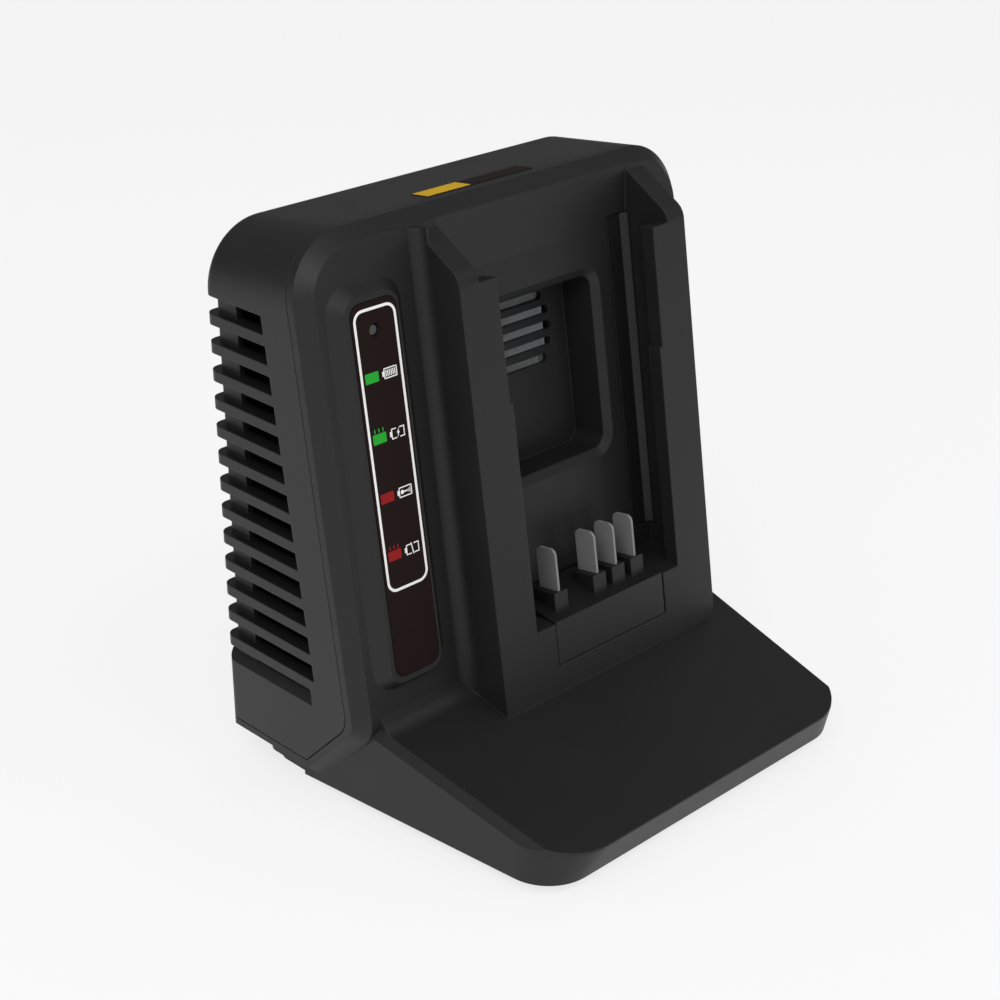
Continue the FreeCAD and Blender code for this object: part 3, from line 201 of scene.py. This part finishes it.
# Fine drawn lines for sheet metal, along the u direction of the leaning frame
def makeBrushGroup():
    group, gin, gout = newGroup(
        "brushedLines",
        [
            ("Colour", "NodeSocketColor", (0.5, 0.5, 0.5, 1)),
            ("Roughness", "NodeSocketFloat", 0.35),
            ("Lines", "NodeSocketVector", (4000.0, 4000.0, 150.0)),
            ("Contrast", "NodeSocketFloat", 0.2),
        ],
        [("Colour", "NodeSocketColor"), ("Roughness", "NodeSocketFloat"), ("Normal", "NodeSocketVector")],
    )
    links = group.links
    coord = addNode(group, "ShaderNodeTexCoord", -1100, 0)
    stretch = addNode(group, "ShaderNodeVectorMath", -900, 0, operation="MULTIPLY")
    links.new(coord.outputs["Object"], stretch.inputs[0])
    links.new(gin.outputs["Lines"], stretch.inputs[1])
    noise = addNode(group, "ShaderNodeTexNoise", -700, 0)
    noise.inputs["Scale"].default_value = 1.0
    noise.inputs["Detail"].default_value = brush["detail"]
    links.new(stretch.outputs["Vector"], noise.inputs["Vector"])
    swing = addNode(group, "ShaderNodeMath", -400, 0, operation="MULTIPLY_ADD")
    links.new(noise.outputs["Fac"], swing.inputs[0])
    links.new(gin.outputs["Contrast"], swing.inputs[1])
    swing.inputs[2].default_value = brush["baseTone"]
    shade = addNode(group, "ShaderNodeVectorMath", 0, 100, operation="SCALE")
    links.new(gin.outputs["Colour"], shade.inputs[0])
    links.new(swing.outputs["Value"], shade.inputs["Scale"])
    rough = addNode(group, "ShaderNodeMath", 0, -100, operation="MULTIPLY")
    links.new(gin.outputs["Roughness"], rough.inputs[0])
    links.new(swing.outputs["Value"], rough.inputs[1])
    bevel = addNode(group, "ShaderNodeBevel", -400, -300, samples=brush["cornerSamples"])
    bevel.inputs["Radius"].default_value = brush["cornerRadius"]
    bump = addNode(group, "ShaderNodeBump", 0, -300)
    bump.inputs["Strength"].default_value = brush["bumpStrength"]
    bump.inputs["Distance"].default_value = brush["bumpDepth"]
    links.new(noise.outputs["Fac"], bump.inputs["Height"])
    links.new(bevel.outputs["Normal"], bump.inputs["Normal"])
    links.new(shade.outputs["Vector"], gout.inputs["Colour"])
    links.new(rough.outputs["Value"], gout.inputs["Roughness"])
    links.new(bump.outputs["Normal"], gout.inputs["Normal"])
    return group


grainGroup = makeGrainGroup()
brushGroup = makeBrushGroup()


# A material with one shared group in front of the shader; shader holds the shader's own constants
def newMaterial(name, group, values, **shader):
    material = bpy.data.materials.new(name)
    material.use_nodes = True
    tree = material.node_tree
    tree.nodes.clear()
    out = addNode(tree, "ShaderNodeOutputMaterial", 500, 0)
    bsdf = addNode(tree, "ShaderNodeBsdfPrincipled", 200, 0)
    texture = addNode(tree, "ShaderNodeGroup", -100, 0, node_tree=group)
    for key, value in values.items():
        texture.inputs[key].default_value = value
    tree.links.new(texture.outputs["Colour"], bsdf.inputs["Base Color"])
    tree.links.new(texture.outputs["Roughness"], bsdf.inputs["Roughness"])
    tree.links.new(texture.outputs["Normal"], bsdf.inputs["Normal"])
    tree.links.new(bsdf.outputs["BSDF"], out.inputs["Surface"])
    for key, value in shader.items():
        bsdf.inputs[key.replace("_", " ")].default_value = value
    return material


def plastic(name, colour, roughness=0.5, grain=2600.0, depth=0.25, cloud=0.15, cornerHighlight=None, highlightAmount=0.5,
            soft=0.0006, **shader):
    # The corner colour is a painted highlight, by default about twice as light as the plastic
    highlightTone = cornerHighlight or [min(1, c * 2.2 + 0.01) for c in colour]
    values = {
        "Colour": (*colour, 1), "Edge": (*highlightTone, 1), "Roughness": roughness, "Grain": grain,
        "Depth": depth, "Cloud": cloud, "CornerHighlightAmount": highlightAmount, "Round": soft,
    }
    return newMaterial(name, grainGroup, values, **shader)


def metal(name, colour, roughness=0.35, lines=(4000.0, 4000.0, 150.0), contrast=0.2, metallic=1.0, **shader):
    values = {"Colour": (*colour, 1), "Roughness": roughness, "Lines": lines, "Contrast": contrast}
    return newMaterial(name, brushGroup, values, Metallic=metallic, **shader)


materials = {
    "housing": plastic("housingPlastic", (0.0125, 0.0125, 0.0126), 0.48, depth=0.32, cloud=0.10,
                       cornerHighlight=(0.030, 0.030, 0.031), highlightAmount=0.45, Specular_IOR_Level=0.36),
    "cover": plastic("coverPlastic", (0.0118, 0.0118, 0.0120), 0.44, depth=0.30, cloud=0.10,
                     cornerHighlight=(0.030, 0.030, 0.031), highlightAmount=0.45, Specular_IOR_Level=0.36),
    "terminal": plastic("terminalPlastic", (0.0100, 0.0100, 0.0102), 0.42, depth=0.2, cloud=0.08,
                        cornerHighlight=(0.028, 0.028, 0.029), highlightAmount=0.5, soft=0.0003, Specular_IOR_Level=0.36),
    "guide": plastic("guidePlastic", (0.0085, 0.0085, 0.0087), 0.40, depth=0.2, cloud=0.08, highlightAmount=0.35,
                     soft=0.0003, Specular_IOR_Level=0.4),
    "label": plastic("labelFilm", (0.0120, 0.0052, 0.0044), 0.55, grain=5200.0, depth=0.08, cloud=0.06,
                     highlightAmount=0.2, soft=0.0001, Specular_IOR_Level=0.12),
    "roofDark": plastic("roofFilmDark", (0.0130, 0.0062, 0.0052), 0.55, grain=5200.0, depth=0.08, cloud=0.06,
                        highlightAmount=0.2, soft=0.0001, Specular_IOR_Level=0.12),
    "roofYellow": plastic("roofFilmYellow", (0.60, 0.36, 0.006), 0.50, grain=5200.0, depth=0.08, cloud=0.08,
                          highlightAmount=0.2, soft=0.0001, Specular_IOR_Level=0.12),
    "printWhite": plastic("printWhite", (0.86, 0.86, 0.84), 0.5, grain=6000.0, depth=0.05, cloud=0.04,
                          highlightAmount=0.0, soft=0.00005),
    "printGreen": plastic("printGreen", (0.020, 0.36, 0.032), 0.45, grain=6000.0, depth=0.05, cloud=0.06,
                          highlightAmount=0.0, soft=0.00005, Specular_IOR_Level=0.12),
    "printRed": plastic("printRed", (0.27, 0.010, 0.012), 0.45, grain=6000.0, depth=0.05, cloud=0.06,
                        highlightAmount=0.0, soft=0.00005, Specular_IOR_Level=0.12),
    "lens": plastic("lensPlastic", (0.014, 0.014, 0.016), 0.16, depth=0.02, cloud=0.1, Coat_Weight=0.4,
                    Coat_Roughness=0.08),
    "diffuser": plastic("diffuserPlastic", (0.6, 0.62, 0.6), 0.35, depth=0.05, Transmission_Weight=0.4),
    "board": plastic("boardLaminate", (0.012, 0.085, 0.030), 0.30, grain=1400.0, depth=0.12, cloud=0.5,
                     cornerHighlight=(0.25, 0.22, 0.10), Coat_Weight=0.3),
    "lamp": plastic("lampPlastic", (0.72, 0.75, 0.7), 0.2, depth=0.02),
    "black": plastic("innerPlastic", (0.014, 0.014, 0.015), 0.45, depth=0.2),
    "ferrite": plastic("ferrite", (0.035, 0.034, 0.034), 0.62, grain=3600.0, depth=0.5, cloud=0.3),
    "sleeve": plastic("capacitorSleeve", (0.016, 0.025, 0.085), 0.28, depth=0.04, cloud=0.1),
    "case": plastic("transistorCase", (0.018, 0.018, 0.018), 0.55, depth=0.3),
    "rubber": plastic("footRubber", (0.020, 0.020, 0.020), 0.72, grain=1800.0, depth=0.5, cloud=0.25,
                      highlightAmount=0.3),
    "insulBrown": plastic("leadBrown", (0.085, 0.035, 0.014), 0.38, depth=0.05, cloud=0.1),
    "insulRed": plastic("leadRed", (0.30, 0.012, 0.010), 0.38, depth=0.05, cloud=0.1),
    "glassTube": plastic("fuseGlass", (0.8, 0.82, 0.82), 0.06, depth=0.0, Transmission_Weight=0.9),
    "blade": metal("contactSheet", (0.25, 0.25, 0.252), 0.52, contrast=0.25, metallic=0.35),
    "screw": metal("screwSteel", (0.48, 0.48, 0.47), 0.32, lines=(2500.0, 300.0, 2500.0)),
    "fin": metal("rolledAluminium", (0.82, 0.83, 0.84), 0.42, lines=(3000.0, 3000.0, 120.0), metallic=0.6),
    "brass": metal("brass", (0.62, 0.46, 0.20), 0.30),
    "copper": metal("windingCopper", (0.50, 0.20, 0.075), 0.34, lines=(300.0, 300.0, 3600.0), contrast=0.7),
    "pin": metal("nickelPin", (0.62, 0.61, 0.58), 0.22),
}

finishes = {
    "front_housing": "housing", "rear_cover": "cover", "terminal_block": "terminal",
    "guide_strip_left": "guide", "guide_strip_right": "guide", "indicator_label": "label",
    "roof_label": "roofDark", "status_lens": "lens", "light_guides": "diffuser", "led_board": "board",
    "main_board": "board", "leds": "lamp", "cooling_fins": "fin", "heatsink": "fin", "fan_frame": "black",
    "fan_rotor": "black", "transformer_bobbin": "black", "mains_inlet": "black", "fan_bush": "brass",
    "fuse_clips": "brass", "transformer_core": "ferrite", "choke_core": "ferrite",
    "transformer_winding": "copper", "choke_winding": "copper", "fuse_tube": "glassTube",
}
families = {
    "contact_blade": "blade", "foot_": "rubber", "mains_capacitor": "sleeve", "output_capacitor": "sleeve",
    "power_transistor": "case", "inlet_pin": "pin", "mains_lead": "insulBrown", "output_lead": "insulRed",
}


def finishOf(node):
    if node in finishes:
        return finishes[node]
    for start, name in families.items():
        if node.startswith(start):
            return name
    return "screw"


for node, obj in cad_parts.items():
    obj.data.materials.clear()
    obj.data.materials.append(materials[finishOf(node)])
print("materials set on", len(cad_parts), "nodes")

# Artwork printed on the indicator label, in millimetres on the leaning plane.
label = {
    "face": 13.85,
    "ink": 0.05,
    "ring": {"left": -73.1, "right": -55.3, "low": 54.9, "high": 150.4, "radius": 3.9, "stroke": 0.95},
    "rows": (127.9, 107.6, 87.4, 67.4),
    "blockX": -68.4,
    "blockSize": (5.6, 3.4),
    "blockRound": 0.3,
    "rayGap": 0.35,
    "rayHigh": 1.4,
    "rayStep": 1.7,
    "lineWide": 0.42,
    "cellX": -60.6,
    "cellSize": (5.6, 3.6),
    "cellStroke": 0.38,
    "cellRound": (0.35, 0.12),  # outside, inside
    "charge": {"count": 6, "start": 0.95, "step": 0.74, "halfWide": 0.2, "endGap": 0.75},
    "split": {"bolt": 0.75, "crack": 0.62},
    "nub": (0.65, 1.7),
}


# Corner points of a rounded rectangle, anticlockwise
def roundedLoop(x0, x1, u0, u1, radius, steps=8):
    points = []
    corners = ((x1 - radius, u1 - radius, 0), (x0 + radius, u1 - radius, 90),
               (x0 + radius, u0 + radius, 180), (x1 - radius, u0 + radius, 270))
    for cx, cu, start in corners:
        for i in range(steps + 1):
            a = math.radians(start + 90 * i / steps)
            points.append((cx + radius * math.cos(a), cu + radius * math.sin(a)))
    return points


# Thin raised ink: each shape is a list of (x, u) points, or a pair of matching loops for a ring
def makePrint(name, shapes, material):
    mesh = bmesh.new()
    face = label["face"] / 1000
    top = face - label["ink"] / 1000

    def vert(point, p):
        return mesh.verts.new(leanPoint(point[0] / 1000, p, point[1] / 1000))

    for shape in shapes:
        if isinstance(shape, tuple):
            outer, inner = shape
            n = len(outer)
            levels = ((outer, face), (outer, top), (inner, top), (inner, face))
            rings = [[vert(q, p) for q in loop] for loop, p in levels]
            for a, b in ((0, 1), (1, 2), (2, 3)):
                for i in range(n):
                    j = (i + 1) % n
                    mesh.faces.new((rings[a][i], rings[a][j], rings[b][j], rings[b][i]))
        else:
            n = len(shape)
            low = [vert(q, face) for q in shape]
            high = [vert(q, top) for q in shape]
            mesh.faces.new(high)
            for i in range(n):
                j = (i + 1) % n
                mesh.faces.new((low[i], low[j], high[j], high[i]))
    bmesh.ops.recalc_face_normals(mesh, faces=mesh.faces)
    data = bpy.data.meshes.new(name)
    mesh.to_mesh(data)
    mesh.free()
    obj = bpy.data.objects.new(name, data)
    bpy.context.collection.objects.link(obj)
    data.materials.append(material)
    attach(obj, "charger_body")


def bar(x0, x1, u0, u1):
    return [(x0, u0), (x1, u0), (x1, u1), (x0, u1)]


# A straight line of ink from a to b
def stroke(ax, au, bx, bu, width):
    d = Vector((bx - ax, bu - au)).normalized() * width / 2
    return [(ax - d.y, au + d.x), (ax + d.y, au - d.x), (bx + d.y, bu - d.x), (bx - d.y, bu + d.x)]


def ringPrint():
    r = label["ring"]
    s = r["stroke"]
    outer = roundedLoop(r["left"], r["right"], r["low"], r["high"], r["radius"])
    inner = roundedLoop(r["left"] + s, r["right"] - s, r["low"] + s, r["high"] - s, r["radius"] - s)
    return [(outer, inner)]


def blockPrint(u, rays):
    w, h = label["blockSize"]
    x = label["blockX"]
    shapes = [roundedLoop(x - w / 2, x + w / 2, u - h / 2, u + h / 2, label["blockRound"], 3)]
    if rays:
        for i in (-1, 0, 1):
            cx = x + i * label["rayStep"]
            low = u + h / 2 + label["rayGap"]
            shapes.append(stroke(cx, low, cx, low + label["rayHigh"], label["lineWide"]))
    return shapes


# The battery sign's frame and its nub; a gap splits it in two halves
def cellOutline(u, gapAt=None):
    w, h = label["cellSize"]
    x = label["cellX"]
    s = label["cellStroke"]
    left, right, low, high = x - w / 2, x + w / 2, u - h / 2, u + h / 2
    nubWide, nubHigh = label["nub"]
    shapes = [bar(left - nubWide, left, u - nubHigh / 2, u + nubHigh / 2)]
    if gapAt is None:
        outerRound, innerRound = label["cellRound"]
        outer = roundedLoop(left, right, low, high, outerRound, 3)
        inner = roundedLoop(left + s, right - s, low + s, high - s, innerRound, 3)
        shapes.append((outer, inner))
        return shapes
    for row in (low, high - s):
        shapes.append(bar(left, x - gapAt, row, row + s))
        shapes.append(bar(x + gapAt, right, row, row + s))
    shapes.append(bar(left, left + s, low + s, high - s))
    shapes.append(bar(right - s, right, low + s, high - s))
    return shapes


def fullCell(u):
    w, h = label["cellSize"]
    x = label["cellX"]
    shapes = cellOutline(u)
    c = label["charge"]
    for i in range(c["count"]):
        cx = x - w / 2 + c["start"] + i * c["step"]
        low = u - h / 2 + c["endGap"]
        high = u + h / 2 - c["endGap"]
        shapes.append(bar(cx - c["halfWide"], cx + c["halfWide"], low, high))
    return shapes


def chargingCell(u):
    x = label["cellX"]
    shapes = cellOutline(u, label["split"]["bolt"])
    shapes.append([(x + 0.65, u + 1.7), (x - 0.55, u - 0.15), (x + 0.05, u - 0.15), (x - 0.35, u - 1.8),
                   (x + 0.75, u + 0.25), (x + 0.15, u + 0.25)])
    return shapes


def warmCell(u):
    x = label["cellX"]
    shapes = cellOutline(u)
    shapes.append([(x - 1.35 + 0.72 * math.cos(i * math.pi / 6), u + 0.72 * math.sin(i * math.pi / 6))
                   for i in range(12)])
    shapes.append(bar(x - 0.6, x + 0.9, u - 0.24, u + 0.24))
    for i in range(3):
        shapes.append(bar(x + 1.15 + i * 0.42, x + 1.32 + i * 0.42, u - 0.5 - 0.2 * i, u + 0.5 + 0.2 * i))
    return shapes


def brokenCell(u):
    x = label["cellX"]
    shapes = cellOutline(u, label["split"]["crack"])
    shapes.append(stroke(x - 0.45, u + 2.0, x + 0.25, u - 2.0, label["lineWide"]))
    return shapes


def makeLabelArt():
    rows = label["rows"]
    makePrint("label_outline", ringPrint(), materials["printWhite"])
    for i, name in enumerate(("printGreen", "printGreen", "printRed", "printRed")):
        makePrint(f"lamp_window_{i + 1}", blockPrint(rows[i], i in (1, 3)), materials[name])
    for i, draw in enumerate((fullCell, chargingCell, warmCell, brokenCell)):
        makePrint(f"battery_sign_{i + 1}", draw(rows[i]), materials["printWhite"])


makeLabelArt()
print("label printed")

# The roof film's two plain colour fields; the yellow one lies on the dark one.
roof = {"left": -0.02428, "right": -0.0048, "inset": 0.00012, "thick": 0.00006, "sink": 0.00004, "slope": 6.5}


def makeRoofFilm():
    low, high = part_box("roof_label")
    fall = math.tan(math.radians(roof["slope"]))
    y0 = low[1] + roof["inset"]
    y1 = high[1] - roof["inset"]

    def topZ(y):
        return high[2] - (y - low[1]) * fall

    mesh = bmesh.new()
    corners = [(roof["left"], y0), (roof["right"], y0), (roof["right"], y1), (roof["left"], y1)]
    below = [mesh.verts.new((x, y, topZ(y) - roof["sink"])) for x, y in corners]
    above = [mesh.verts.new((x, y, topZ(y) + roof["thick"])) for x, y in corners]
    mesh.faces.new(above)
    for i in range(4):
        j = (i + 1) % 4
        mesh.faces.new((below[i], below[j], above[j], above[i]))
    bmesh.ops.recalc_face_normals(mesh, faces=mesh.faces)
    data = bpy.data.meshes.new("roof_film_yellow")
    mesh.to_mesh(data)
    mesh.free()
    obj = bpy.data.objects.new("roof_film_yellow", data)
    bpy.context.collection.objects.link(obj)
    data.materials.append(materials["roofYellow"])
    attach(obj, "charger_body")


makeRoofFilm()
print("roof film made")

# Floor, lamps and sky
studio = {
    "floorSize": 12.0,
    "floorColour": (0.85, 0.85, 0.85, 1),
    "floorMix": 0.25,  # share of plain matt floor, which holds the shadow, in what the camera sees
    "sky": 0.58,
    "skyInGloss": 0.20,
    "aim": (0, 0, 0.09),
    "lamps": (
        ("keyLamp", (-1.1, -0.7, 1.3), 1.1, 13.0),
        ("fillLamp", (0.4, -1.2, 1.5), 1.2, 7.0),
    ),
}


def makeFloor():
    size = studio["floorSize"] / 2
    data = bpy.data.meshes.new("studioFloor")
    mesh = bmesh.new()
    bmesh.ops.create_grid(mesh, x_segments=8, y_segments=8, size=size)
    mesh.to_mesh(data)
    mesh.free()
    obj = bpy.data.objects.new("studioFloor", data)
    obj.location.z = -0.0002
    bpy.context.collection.objects.link(obj)
    material = bpy.data.materials.new("studioFloor")
    material.use_nodes = True
    tree = material.node_tree
    tree.nodes.clear()
    out = addNode(tree, "ShaderNodeOutputMaterial", 600, 0)
    paths = addNode(tree, "ShaderNodeLightPath", -600, 200)
    seen = addNode(tree, "ShaderNodeMath", -400, 200, operation="MAXIMUM")
    tree.links.new(paths.outputs["Is Camera Ray"], seen.inputs[0])
    tree.links.new(paths.outputs["Is Glossy Ray"], seen.inputs[1])
    glow = addNode(tree, "ShaderNodeEmission", -200, 0)
    glow.inputs["Strength"].default_value = 1.0
    matt = addNode(tree, "ShaderNodeBsdfDiffuse", -200, -200)
    matt.inputs["Color"].default_value = studio["floorColour"]
    white = addNode(tree, "ShaderNodeMixShader", 100, -50)
    white.inputs["Fac"].default_value = studio["floorMix"]
    tree.links.new(glow.outputs["Emission"], white.inputs[1])
    tree.links.new(matt.outputs["BSDF"], white.inputs[2])
    pick = addNode(tree, "ShaderNodeMixShader", 350, 0)
    tree.links.new(seen.outputs["Value"], pick.inputs["Fac"])
    tree.links.new(matt.outputs["BSDF"], pick.inputs[1])
    tree.links.new(white.outputs["Shader"], pick.inputs[2])
    tree.links.new(pick.outputs["Shader"], out.inputs["Surface"])
    data.materials.append(material)


def makeSky():
    world = bpy.data.worlds.new("studioSky")
    world.use_nodes = True
    tree = world.node_tree
    tree.nodes.clear()
    out = addNode(tree, "ShaderNodeOutputWorld", 400, 0)
    shine = addNode(tree, "ShaderNodeBackground", 200, 0)
    shine.inputs["Color"].default_value = (1, 1, 1, 1)
    paths = addNode(tree, "ShaderNodeLightPath", -400, 0)
    seen = addNode(tree, "ShaderNodeMath", -200, 0, operation="MAXIMUM")
    tree.links.new(paths.outputs["Is Camera Ray"], seen.inputs[0])
    tree.links.new(paths.outputs["Is Transmission Ray"], seen.inputs[1])
    soft = addNode(tree, "ShaderNodeMix", -200, 200, data_type="FLOAT")
    soft.inputs[2].default_value = studio["sky"]
    soft.inputs[3].default_value = studio["skyInGloss"]
    tree.links.new(paths.outputs["Is Glossy Ray"], soft.inputs["Factor"])
    level = addNode(tree, "ShaderNodeMix", 0, 0, data_type="FLOAT")
    tree.links.new(soft.outputs[0], level.inputs[2])
    level.inputs[3].default_value = 1.0
    tree.links.new(seen.outputs["Value"], level.inputs["Factor"])
    tree.links.new(level.outputs[0], shine.inputs["Strength"])
    tree.links.new(shine.outputs["Background"], out.inputs["Surface"])
    bpy.context.scene.world = world


def makeLamps():
    for name, place, size, power in studio["lamps"]:
        data = bpy.data.lights.new(name, "AREA")
        data.shape = "SQUARE"
        data.size = size
        data.energy = power
        obj = bpy.data.objects.new(name, data)
        obj.location = place
        aim = Vector(studio["aim"]) - Vector(place)
        obj.rotation_euler = aim.to_track_quat("-Z", "Y").to_euler()
        bpy.context.collection.objects.link(obj)


makeFloor()
makeSky()
makeLamps()
print("studio made")
